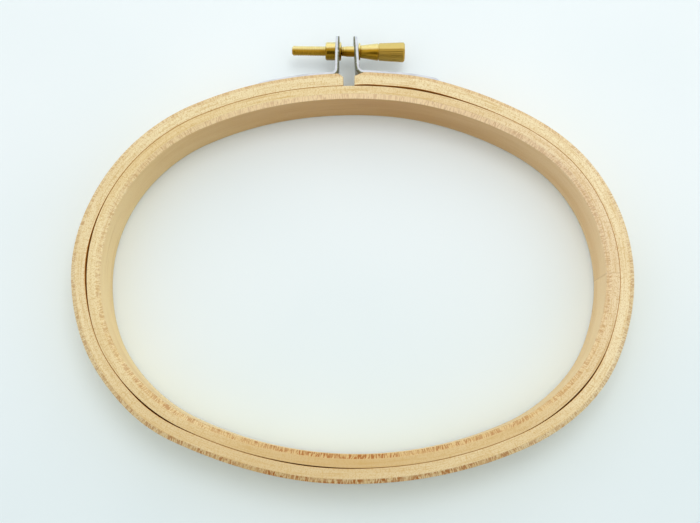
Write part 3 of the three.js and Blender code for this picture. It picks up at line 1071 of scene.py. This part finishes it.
@dataclass(frozen=True)
class OuterHoop(Hoop):
    """The split strip round the inner hoop. Its ends are at the far side."""

    section: Section = Section(inside=3.66 * MM, outside=7.7 * MM, chamfer_outside=True)
    wood: Beech = Beech()
    left_end: EndCut = EndCut(x=-3.75 * MM, along=1.4 * MM, deep=1.4 * MM)
    right_end: EndCut = EndCut(x=-0.55 * MM, along=2.5 * MM, deep=1.3 * MM)
    end_edge: float = 0.15 * MM
    bend_margin: float = 0.04 * MM

    def shifted(self, bearing: Field) -> Field:
        """How far the strip stands out of the true oval, with its openings from the inner hoop."""
        return sum(lobe.over(bearing) for lobe in WANDER + OPENINGS)

    def stands_out(self, bearing: float) -> float:
        """How far the strip stands out at one bearing in degrees."""
        return sum(lobe.at(bearing) for lobe in WANDER + OPENINGS)

    def angles(self, recipe: Recipe, station: Field, count: Field, offset: Field,
               height: Field) -> tuple[Field, Field, Field]:
        """Where each point of the split strip goes.

        The first and last stations close the strip's ends: one at the section's middle, one round its
        bevelled face, and one at its full size.

        Args:
            recipe: The tree that it is made in.
            station: Each point's number along the strip.
            count: How many stations there are.
            offset: Each point's offset in the section.
            height: Each point's height in the section.

        Returns:
            The outward angle, and the offset and height to use there.
        """
        edge = recipe.number("End Edge", self.end_edge)
        share = ((station - 2.0) / (count - 5.0)).between(0.0, 1.0)
        at_right = 1.0 - share.below(0.5)
        closing = (2.0 - station).most(station - count + 3.0).most(0.0)
        full = closing.below(0.5)
        middle = 1.0 - closing.below(1.5)
        ring = 1.0 - full - middle
        sides = []
        for name, cut in (("Left", self.left_end), ("Right", self.right_end)):
            x = recipe.number(name + " End", cut.x)
            along = recipe.number(name + " Bevel Along", cut.along)
            deep = recipe.number(name + " Bevel Deep", cut.deep)
            sides.append((x, along, deep))
        (left_x, left_along, left_deep), (right_x, right_along, right_deep) = sides
        deep = left_deep * (1.0 - at_right) + right_deep * at_right
        start = self.section.outside - deep
        back = ((offset - start) / deep).between(0.0, 1.0)
        left = left_x - full * (back * left_along + edge)
        right = right_x + full * (back * right_along + edge)
        centre = (self.section.outside + self.section.inside) / 2.0
        bevelled = offset.most(edge + self.section.inside).least(start)
        new_offset = full * offset + ring * bevelled + middle * centre
        lowered = height.most(edge).least(self.section.depth - edge)
        new_height = full * height + ring * lowered + middle * (self.section.depth / 2.0)
        reach = new_offset + self.oval.side_radius
        first = (left / reach).math("ARCCOSINE")
        last = (right / reach).math("ARCCOSINE") + 2.0 * math.pi
        return first + (last - first) * share, new_offset, new_height

    def build(self) -> bpy.types.Object:
        """Make the strip.

        Returns:
            The finished piece.
        """
        piece = make_piece("outer_strip", self.mesh("beech_outer"))
        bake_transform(piece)
        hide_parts("outer_hoop_left", "outer_hoop_right")
        return piece


# Brackets and rivets


# How far the screw stands from its place in the CAD model, towards its tip and towards the wood
SCREW_BACK = 0.22 * MM
SCREW_DOWN = 0.1 * MM


def screw_axis() -> Vector:
    """A point on the thumb screw's axis, near the foot of its cone."""
    low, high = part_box("collar_washer")
    return Vector((high.x - SCREW_BACK, (low.y + high.y) / 2.0 - SCREW_DOWN, (low.z + high.z) / 2.0))


@dataclass(frozen=True)
class Bracket:
    """A sheet-steel strap on the outer hoop, bent outwards into an ear."""

    side: Side
    hoop: OuterHoop
    setback: float
    hole: float
    bend_radius: float
    lean: float
    tail_drop: float = 0.0
    sheet: float = 1.15 * MM
    width: float = 8.9 * MM
    strap_width: float = 11.6 * MM
    strap_length: float = 21.9 * MM
    tail_corner: float = 1.6 * MM
    seat: float = 0.06 * MM
    edge: float = 0.3 * MM
    ear_steps: int = 6
    bend_steps: int = 12
    strap_steps: int = 44
    tip_steps: int = 24
    corner_steps: int = 6
    hole_steps: int = 48
    axis: Vector = field(default_factory=screw_axis)

    @property
    def name(self) -> str:
        """The bracket's side as a word."""
        return self.side.name.lower()

    def strap_place(self, angle: float, offset: float) -> Vector:
        """A point over the outer hoop's outside face, which stands out where the hoop does."""
        out = self.hoop.stands_out(self.hoop.oval.bearing(angle))
        return self.hoop.oval.point(angle, self.hoop.section.outside + out + offset)

    def track(self) -> Track:
        """The middle line of the sheet, from the ear's tip to the strap's tail.

        Returns:
            For each point: its distance along the sheet, its place, and the way the inner side faces.
        """
        side = self.side.value
        oval = self.hoop.oval
        bend = self.bend_radius + self.sheet / 2.0
        strap = self.seat + self.sheet / 2.0
        facing = Vector((-side * math.cos(self.lean), -math.sin(self.lean), 0.0))
        upwards = Vector((-side * math.sin(self.lean), math.cos(self.lean), 0.0))
        wood = (self.hoop.left_end if side < 0 else self.hoop.right_end).x
        bend_x = wood + side * (self.setback + (bend + self.sheet / 2.0) * math.cos(self.lean))
        start = oval.far_angle(bend_x, self.hoop.section.outside + strap + bend)
        centre = self.strap_place(start, strap + bend)
        foot = centre + facing * bend
        tip = foot + upwards * ((self.axis.y + self.width / 2.0 - foot.y) / upwards.y)
        inwards = Vector((-math.cos(start), -math.sin(start), 0.0))
        turn = math.atan2(facing.x * inwards.y - facing.y * inwards.x, facing.dot(inwards))
        places = [(tip.lerp(foot, step / self.ear_steps), facing) for step in range(self.ear_steps)]
        for step in range(self.bend_steps + 1):
            way = Matrix.Rotation(turn * step / self.bend_steps, 3, "Z") @ facing
            places.append((centre + way * bend, way))
        reach = oval.side_radius + self.hoop.section.outside + strap
        for step in range(1, self.strap_steps + 1):
            angle = start - side * (self.strap_length * step / self.strap_steps) / reach
            way = Vector((-math.cos(angle), -math.sin(angle), 0.0))
            places.append((self.strap_place(angle, strap), way))
        line, distance = [], 0.0
        for number, (place, way) in enumerate(places):
            if number:
                distance += (place - places[number - 1][0]).length
            line.append((distance, place, way))
        return line

    def strap_start(self) -> float:
        """The distance along the sheet at which the strap starts."""
        return self.track()[self.ear_steps + self.bend_steps][0]

    def at(self, line: Track, distance: float) -> tuple[Vector, Vector]:
        """The place and facing at a distance along the sheet.

        Args:
            line: The sheet's middle line.
            distance: How far along it.

        Returns:
            The place and the way that the inner side faces.
        """
        for (near, place, way), (far, next_place, next_way) in zip(line, line[1:]):
            if distance <= far:
                break
        share = (distance - near) / (far - near)
        return place.lerp(next_place, share), way.lerp(next_way, share).normalized()

    def outline(self, length: float, foot: float) -> Outline:
        """The flat sheet's outline before it is bent, in millimetres.

        Args:
            length: The sheet's length.
            foot: How far from its tip the ear is as wide as the strap.

        Returns:
            Points of (distance from the ear's tip, height from the middle).
        """
        half = self.width / 2.0 / MM
        wide = self.strap_width / 2.0 / MM
        tail = self.tail_corner / MM
        end = length / MM
        points = []
        for step in range(self.tip_steps + 1):
            angle = math.pi / 2.0 + math.pi * step / self.tip_steps
            points.append((half + half * math.cos(angle), half * math.sin(angle)))
        points = [(foot / MM, wide)] + points + [(foot / MM, -wide)]
        for corner, first in ((-1.0, -math.pi / 2.0), (1.0, 0.0)):
            for step in range(self.corner_steps + 1):
                angle = first + math.pi / 2.0 * step / self.corner_steps
                middle = corner * (wide - tail)
                points.append((end - tail + tail * math.cos(angle), middle + tail * math.sin(angle)))
        return points

    def sheet_mesh(self, length: float, foot: float) -> bpy.types.Mesh:
        """The flat sheet with its hole and soft edges, in millimetres.

        Args:
            length: The sheet's length.
            foot: How far from its tip the ear is as wide as the strap.

        Returns:
            The flat mesh.
        """
        edge = self.edge / MM
        curve = bpy.data.curves.new(self.name + "_sheet", "CURVE")
        curve.dimensions = "2D"
        curve.fill_mode = "BOTH"
        curve.extrude = self.sheet / 2.0 / MM - edge
        curve.bevel_depth = edge
        curve.bevel_resolution = 3
        curve.offset = -edge
        half = self.width / 2.0 / MM
        hole = self.hole / MM
        turns = [(step / self.hole_steps) * 2.0 * math.pi for step in range(self.hole_steps)]
        ring = [(half + hole * math.cos(turn), hole * math.sin(turn)) for turn in turns]
        for loop in (self.outline(length, foot), ring):
            spline = curve.splines.new("POLY")
            spline.points.add(len(loop) - 1)
            spline.use_cyclic_u = True
            for point, (along, up) in zip(spline.points, loop):
                point.co = (along, up, 0.0, 1.0)
        holder = bpy.data.objects.new(curve.name, curve)
        bpy.context.scene.collection.objects.link(holder)
        mesh = plain_mesh(holder)
        bpy.data.objects.remove(holder)
        return mesh

    def build(self, plate: bpy.types.Material) -> bpy.types.Object:
        """Bend the sheet round the hoop and set it on its body.

        Args:
            plate: The bracket's finish.

        Returns:
            The finished piece.
        """
        line = self.track()
        mesh = self.sheet_mesh(line[-1][0], line[self.ear_steps][0])
        work = bmesh.new()
        work.from_mesh(mesh)
        bmesh.ops.remove_doubles(work, verts=work.verts, dist=2.0 * WELD / MM)
        layer = work.verts.layers.float.new("layer")
        for vertex in work.verts:
            vertex[layer] = vertex.co.z
        for distance, _, _ in line[self.ear_steps - 1:-1]:
            parts = list(work.verts) + list(work.edges) + list(work.faces)
            place = (distance / MM, 0.0, 0.0)
            bmesh.ops.bisect_plane(
                work,
                geom=parts,
                dist=WELD / MM,
                plane_co=place,
                plane_no=(1.0, 0.0, 0.0),
            )
        start = self.strap_start()
        for vertex in work.verts:
            distance = vertex.co.x * MM
            place, way = self.at(line, distance)
            fall = self.tail_drop * max(0.0, distance - start) / self.strap_length
            height = self.axis.z + vertex.co.y * MM - fall
            vertex.co = place + way * (vertex.co.z * MM) + Vector((0.0, 0.0, height))
        work.to_mesh(mesh)
        work.free()
        mesh.materials.clear()
        mesh.materials.append(plate)
        piece = make_piece(self.name + "_strap_and_ear", mesh)
        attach(piece, "outer_" + self.name)
        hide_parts(self.name + "_bracket")
        return piece


@dataclass(frozen=True)
class Rivets:
    """The two rivets that hold one strap to the wood."""

    bracket: Bracket
    head_radius: float = 2.1 * MM
    head_height: float = 0.9 * MM
    shank_radius: float = 1.0 * MM
    clench_radius: float = 1.7 * MM
    clench_height: float = 0.06 * MM
    clench_depth: float = 0.6 * MM
    undercut: float = 0.1 * MM
    rim: float = 0.08 * MM
    first: float = 5.5 * MM
    pitch: float = 10.0 * MM
    dome_steps: int = 7
    segments: int = 32

    def profile(self, through: float) -> Outline:
        """One rivet's half outline, from its clenched end outwards.

        Args:
            through: How thick the wood and the strap are together.

        Returns:
            Points of (distance along the rivet, radius).
        """
        low, wide = -self.clench_height, self.clench_radius
        seat, rim = through - self.undercut, through + self.rim
        points = [(low, 0.0), (low, wide * 0.8), (0.0, wide), (self.clench_depth / 2.0, wide)]
        points += [(self.clench_depth, self.shank_radius), (seat, self.shank_radius)]
        points += [(seat, self.head_radius), (rim, self.head_radius)]
        for step in range(1, self.dome_steps + 1):
            angle = math.pi / 2.0 * step / self.dome_steps
            rise = (self.head_height - self.rim) * math.sin(angle)
            points.append((rim + rise, self.head_radius * math.cos(angle)))
        points[-1] = (points[-1][0], 0.0)
        return points

    def build(self, metal: bpy.types.Material) -> bpy.types.Object:
        """Set both rivets through the strap.

        Args:
            metal: The rivets' finish.

        Returns:
            The finished piece.
        """
        hoop = self.bracket.hoop
        through = hoop.section.outside - hoop.section.inside + self.bracket.seat + self.bracket.sheet
        blank = lathe(self.profile(through), self.segments)
        line = self.bracket.track()
        start = self.bracket.strap_start()
        recipe = Recipe("rivets_" + self.bracket.name)
        spots = recipe.add("GeometryNodeMeshLine", {"Count": recipe.count("Rivets", 2)})
        places, turns = [], []
        for number in range(2):
            distance = self.first + number * self.pitch
            place, way = self.bracket.at(line, start + distance)
            base = place + way * (through - self.bracket.sheet / 2.0)
            base.z = self.bracket.axis.z - self.bracket.tail_drop * distance / self.bracket.strap_length
            label = "Rivet %d " % (number + 1)
            spot = [recipe.number(label + axis, base[index]) for index, axis in enumerate("XYZ")]
            turn = recipe.number(label + "Turn", math.atan2(-way.y, -way.x))
            places.append(recipe.vector(*spot))
            turns.append(recipe.vector(0.0, 0.0, turn))
        spread = {"Geometry": spots.outputs[0], "Position": recipe.switch(recipe.index(), places)}
        moved = recipe.add("GeometryNodeSetPosition", spread)
        twist = recipe.switch(recipe.index(), turns)
        rotation = recipe.add("FunctionNodeEulerToRotation", {0: twist})
        sockets = {
            "Points": moved.outputs[0],
            "Instance": recipe.source.outputs[0],
            "Rotation": rotation.outputs[0],
        }
        copies = recipe.add("GeometryNodeInstanceOnPoints", sockets)
        piece = make_piece(self.bracket.name + "_strap_rivets", recipe.run(copies.outputs[0], metal, blank))
        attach(piece, "outer_" + self.bracket.name)
        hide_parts(self.bracket.name + "_rivet_1", self.bracket.name + "_rivet_2")
        return piece


# Turned pieces


def soften(profile: Outline, radius: float, steps: int = 2) -> Outline:
    """Round the corners of a turned outline.

    Args:
        profile: Points of (distance along the axis, radius).
        radius: How far from each corner its rounding starts.
        steps: How many pieces each rounding has.

    Returns:
        The outline with rounded corners.
    """
    points = [Vector(point) for point in profile]
    soft = [points[0]]
    for before, corner, after in zip(points, points[1:], points[2:]):
        reach = min(radius, (before - corner).length * 0.4, (after - corner).length * 0.4)
        start = corner + (before - corner).normalized() * reach
        end = corner + (after - corner).normalized() * reach
        for step in range(steps + 1):
            share = step / steps
            soft.append(start.lerp(corner, share).lerp(corner.lerp(end, share), share))
    soft.append(points[-1])
    return [(point.x, point.y) for point in soft]


def lathe(profile: Outline, segments: int, closed: bool = False) -> bpy.types.Mesh:
    """Turn an outline about the X axis.

    Args:
        profile: Points of (distance along the axis, radius).
        segments: How many flats go round.
        closed: Whether the last point joins the first, as on a ring.

    Returns:
        The turned mesh.
    """
    work = bmesh.new()
    rings = []
    for along, radius in profile:
        angles = [2.0 * math.pi * step / segments for step in range(segments)]
        ring = [work.verts.new((along, radius * math.cos(a), radius * math.sin(a))) for a in angles]
        rings.append(ring)
    pairs = list(zip(rings, rings[1:]))
    if closed:
        pairs.append((rings[-1], rings[0]))
    for ring, following in pairs:
        for step in range(segments):
            after = (step + 1) % segments
            work.faces.new((ring[step], following[step], following[after], ring[after]))
    mesh = bpy.data.meshes.new("turned")
    work.to_mesh(mesh)
    work.free()
    return mesh


def turned_ring(outline: Outline, radius: float, steps: int, brass: bpy.types.Material,
                segments: int = 72) -> bpy.types.Mesh:
    """Turn a closed outline about the screw's axis.

    Args:
        outline: The ring's cut, as points of (x, radius).
        radius: How far from each corner its rounding starts.
        steps: How many pieces each rounding has.
        brass: The ring's finish.
        segments: How many flats go round.

    Returns:
        The ring, in place.
    """
    # Two points more let every corner be softened, and the two ends of that line are left out again
    soft = soften(outline + outline[:2], radius, steps)[1:-1]
    mesh = lathe(soft, segments, closed=True)
    axis = screw_axis()
    mesh.transform(Matrix.Translation((0.0, axis.y, axis.z)))
    mesh.materials.append(brass)
    return mesh


@dataclass(frozen=True)
class Bush:
    """The threaded brass bush, staked into the left ear."""

    bore: float = 1.5 * MM
    radius: float = 2.65 * MM
    length: float = 2.85 * MM
    lip_radius: float = 2.75 * MM
    lip_length: float = 0.5 * MM
    lip_crown: float = 0.2 * MM
    lip_fall: float = 0.05 * MM
    waist_radius: float = 2.0 * MM
    chamfer: float = 0.3 * MM
    mouth: float = 0.35 * MM
    head_sink: float = 0.1 * MM
    lip_sink: float = 0.12 * MM
    edge: float = 0.12 * MM

    def build(self, brass: bpy.types.Material) -> bpy.types.Object:
        """Turn the bush and set it in the ear.

        Args:
            brass: Its finish.

        Returns:
            The finished piece.
        """
        left, right = (corner.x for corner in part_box("threaded_bush"))
        head = left + self.length + self.head_sink
        lip = right - self.lip_length - self.lip_sink
        outline = [
            (left, self.bore + self.mouth),
            (left, self.radius - self.chamfer),
            (left + self.chamfer, self.radius),
            (head, self.radius),
            (head, self.waist_radius),
            (lip, self.waist_radius),
            (lip, self.lip_radius),
            (right - self.lip_crown, self.lip_radius - self.lip_fall),
            (right, self.lip_radius - self.mouth),
            (right, self.bore + self.chamfer),
            (right - self.chamfer, self.bore),
            (left + self.mouth, self.bore),
        ]
        piece = make_piece("ear_bush", turned_ring(outline, self.edge, 2, brass))
        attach(piece, "outer_left")
        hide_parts("threaded_bush")
        return piece


@dataclass(frozen=True)
class Washer:
    """The brass washer between the right ear and the screw's cone."""

    hole: float = 1.72 * MM
    radius: float = 2.5 * MM
    seat: float = 0.38 * MM
    edge: float = 0.14 * MM

    def build(self, brass: bpy.types.Material) -> bpy.types.Object:
        """Turn the washer and set it against the cone.

        Args:
            brass: Its finish.

        Returns:
            The finished piece.
        """
        left, right = (corner.x - self.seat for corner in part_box("collar_washer"))
        outline = [(left, self.hole), (left, self.radius), (right, self.radius), (right, self.hole)]
        piece = make_piece("collar", turned_ring(outline, self.edge, 3, brass))
        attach(piece, "washer")
        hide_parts("collar_washer")
        return piece


@dataclass(frozen=True)
class ThumbScrew:
    """The brass screw: threaded rod, plain shank, cone, neck and knurled knob."""

    pitch: float = 0.5 * MM
    crest_radius: float = 1.45 * MM
    thread_depth: float = 0.14 * MM
    reach: float = 20.4 * MM
    tip: float = 0.5 * MM
    runout: float = 0.4 * MM
    rings_per_turn: int = 6
    shank_radius: float = 1.55 * MM
    shank_length: float = 4.4 * MM
    cone_small: float = 1.85 * MM
    cone_large: float = 2.55 * MM
    cone_length: float = 5.05 * MM
    foot: float = -0.15 * MM
    neck_radius: float = 2.3 * MM
    neck_length: float = 0.3 * MM
    knob_radius: float = 2.9 * MM
    knob_length: float = 7.6 * MM
    knob_chamfer: float = 0.4 * MM
    edge: float = 0.1 * MM
    ridges: int = 36
    ridge_depth: float = 0.1 * MM
    segments: int = 180

    def outline(self) -> Outline:
        """The blank's half outline, with close rings where the thread is cut.

        Returns:
            Points of (distance from the cone's foot, radius), from the rod's tip to the knob's end.
        """
        shoulder = -self.shank_length
        rod_end = shoulder - (self.shank_radius - self.crest_radius)
        knob = self.cone_length + self.neck_length
        end = knob + self.knob_length
        head = [
            (rod_end, self.crest_radius),
            (shoulder, self.shank_radius),
            (self.foot, self.shank_radius),
            (self.foot, self.cone_small),
            (self.cone_length, self.cone_large),
            (self.cone_length, self.neck_radius),
            (knob, self.neck_radius),
            (knob, self.knob_radius - self.knob_chamfer),
            (knob + self.knob_chamfer, self.knob_radius),
        ]
        tail = [
            (knob + self.knob_chamfer, self.knob_radius),
            (end - self.knob_chamfer, self.knob_radius),
            (end, self.knob_radius - self.knob_chamfer),
            (end, 0.0),
        ]
        tip = [(-self.reach, 0.0), (-self.reach, self.crest_radius - self.tip * 0.8)]
        start = -self.reach + self.tip
        rings = int((rod_end - start) / (self.pitch / self.rings_per_turn))
        rod = [(start + (rod_end - start) * step / rings, self.crest_radius) for step in range(rings)]
        return tip + rod + soften(head, self.edge)[:-1] + soften(tail, self.edge)[1:]

    def build(self, brass: bpy.types.Material) -> bpy.types.Object:
        """Turn the blank, then cut its thread and knurl in a node tree.

        Args:
            brass: Its finish.

        Returns:
            The finished piece.
        """
        blank = lathe(self.outline(), self.segments)
        axis = screw_axis()
        recipe = Recipe("thread_and_knurl")
        pitch = recipe.number("Pitch", self.pitch)
        depth = recipe.number("Thread Depth", self.thread_depth)
        tip = recipe.number("Thread Start", -self.reach + self.tip)
        runout = recipe.number("Thread End", -self.shank_length - self.runout)
        ridges = recipe.number("Ridges", self.ridges)
        cut = recipe.number("Ridge Depth", self.ridge_depth)
        knob = self.cone_length + self.neck_length
        first = recipe.number("Knurl Start", knob)
        last = recipe.number("Knurl End", knob + self.knob_length)
        x, y, z = recipe.parts(recipe.place())
        radius = (y * y + z * z).math("SQRT").most(0.001 * MM)
        turn = z.math("ARCTAN2", y) / (2.0 * math.pi)
        wave = (x / pitch - turn).math("FRACT")
        groove = (wave - 0.5).size() * 2.0
        on_rod = ((x - tip) / pitch).between(0.0, 1.0) * ((runout - x) / pitch).between(0.0, 1.0)
        ridge = ((turn * ridges).math("FRACT") - 0.5).size() * 2.0
        on_knob = ((x - first) / cut).between(0.0, 1.0) * ((last - x) / cut).between(0.0, 1.0)
        on_knob = on_knob * radius.math("GREATER_THAN", self.knob_radius - self.knob_chamfer * 1.2)
        less = groove.smooth(0.1, 0.9) * depth * on_rod + ridge.smooth(0.15, 1.0) * cut * on_knob
        scale = (radius - less) / radius
        position = recipe.vector(x + axis.x, y * scale + axis.y, z * scale + axis.z)
        sockets = {"Geometry": recipe.source.outputs[0], "Position": position}
        shaped = recipe.add("GeometryNodeSetPosition", sockets)
        piece = make_piece("clamp_screw", recipe.run(shaped.outputs[0], brass, blank))
        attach(piece, "screw")
        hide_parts("thumb_screw")
        return piece


# Studio


@dataclass(frozen=True)
class Studio:
    """The floor, the light and the camera."""

    floor_size: float = 12.0
    floor_drop: float = 0.01 * MM
    sky: float = 0.92
    overhead: float = 1.12
    horizon: float = 0.9
    behind: float = 0.1
    ahead: float = 1.15
    lamp_power: float = 0.33
    lamp_size: float = 0.2
    lamp_place: Vector = field(default_factory=lambda: Vector((0.03, 0.105, 0.4)))
    lamp_aim: Vector = field(default_factory=lambda: Vector((0.0, -0.01, 0.0)))
    camera_place: Vector = field(default_factory=lambda: Vector((0.272, -54.248, 280.313)) * MM)
    camera_turns: tuple[float, float, float] = (1.394, 10.619, -0.439)
    lens: float = 50.03
    sensor: float = 36.0

    def floor(self) -> None:
        """Lay the pale board under the hoop."""
        mesh = bpy.data.meshes.new("board")
        work = bmesh.new()
        bmesh.ops.create_grid(work, x_segments=12, y_segments=12, size=self.floor_size / 2.0)
        work.to_mesh(mesh)
        work.free()
        mesh.transform(Matrix.Translation((0.0, 0.0, -self.floor_drop)))
        board = bpy.data.objects.new("board", mesh)
        bpy.context.scene.collection.objects.link(board)
        mesh.materials.append(Board().material("pale_board"))

    def light(self) -> None:
        """Light the hoop with a soft sky and a small lamp over its far side.

        The sky is brightest overhead and on the far side, and dark in a narrow part of the near side,
        except close to the horizon. The metal mirrors the sky, but not the lamp.
        """
        world = bpy.data.worlds.new("soft_room")
        bpy.context.scene.world = world
        world.use_nodes = True
        world.node_tree.nodes.clear()
        graph = Graph(world.node_tree)
        way = graph.add("ShaderNodeTexCoord").outputs["Generated"]
        x, y, z = graph.parts(Field(graph, way))
        strength = self.sky + z.smooth(0.8, 0.95) * (self.overhead - self.sky)
        level = (x * x + y * y).math("SQRT").most(0.001)
        near_side = (y / level).smooth(-0.78, -0.93) * z.smooth(0.99, 0.94)
        strength = strength + near_side * (self.behind - strength)
        strength = strength + y.smooth(0.5, 0.85) * (self.ahead - strength)
        strength = strength + z.smooth(0.16, 0.1) * (self.horizon - strength)
        sky = graph.add("ShaderNodeBackground", {"Color": (1.0, 1.0, 1.0, 1.0), "Strength": strength})
        graph.add("ShaderNodeOutputWorld", {0: sky.outputs[0]})
        lamp = bpy.data.lights.new("softbox", "AREA")
        lamp.shape = "DISK"
        lamp.size = self.lamp_size
        lamp.energy = self.lamp_power
        softbox = bpy.data.objects.new("softbox", lamp)
        bpy.context.scene.collection.objects.link(softbox)
        softbox.visible_glossy = False
        softbox.location = self.lamp_place
        softbox.rotation_euler = (self.lamp_aim - self.lamp_place).to_track_quat("-Z", "Y").to_euler()

    def camera(self) -> None:
        """Place the camera where the photograph was taken from."""
        lens = bpy.data.cameras.new("camera")
        lens.lens = self.lens
        lens.sensor_width = self.sensor
        lens.clip_start = 0.01
        lens.clip_end = 20.0
        camera = bpy.data.objects.new("camera", lens)
        bpy.context.scene.collection.objects.link(camera)
        first, tilt, last = (math.radians(turn) for turn in self.camera_turns)
        turned = Matrix.Rotation(first, 4, "Z") @ Matrix.Rotation(tilt, 4, "X")
        turned = turned @ Matrix.Rotation(last, 4, "Z")
        camera.matrix_world = Matrix.Translation(self.camera_place) @ turned
        bpy.context.scene.camera = camera
        bpy.context.scene.view_settings.view_transform = "Standard"


def main() -> None:
    """Build the hoop, piece by piece, in its studio."""
    logging.basicConfig(level=logging.INFO, format="%(name)s %(message)s")
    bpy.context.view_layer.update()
    studio = Studio()
    studio.camera()
    studio.light()
    studio.floor()

    plate = Plated().material("bracket_plate")
    rivet_metal = Plated(roughness=0.24, seed=17.0).material("rivet_metal")
    # The bush's painted shade and dark reflection below its axis is darker still
    bush_brass = Turned(deep=paint(160, 122, 14), roughness=0.26, seed=5.0).material("bush_brass")
    screw_brass = Turned().material("screw_brass")

    oval = Oval()
    outer = OuterHoop(oval=oval)
    left = Bracket(
        Side.LEFT,
        outer,
        setback=1.43 * MM,
        hole=2.3 * MM,
        bend_radius=0.9 * MM,
        lean=math.radians(0.2),
        tail_drop=0.6 * MM,
    )
    right = Bracket(
        Side.RIGHT,
        outer,
        setback=0.2 * MM,
        hole=2.0 * MM,
        bend_radius=1.4 * MM,
        lean=math.radians(4.3),
    )
    pieces = [
        InnerHoop(oval=oval).build(),
        outer.build(),
        left.build(plate),
        right.build(plate),
        Rivets(left).build(rivet_metal),
        Rivets(right).build(rivet_metal),
        Bush().build(bush_brass),
        Washer().build(bush_brass),
        ThumbScrew().build(screw_brass),
    ]
    for piece in pieces:
        describe(piece)


if __name__ == "__main__":
    main()
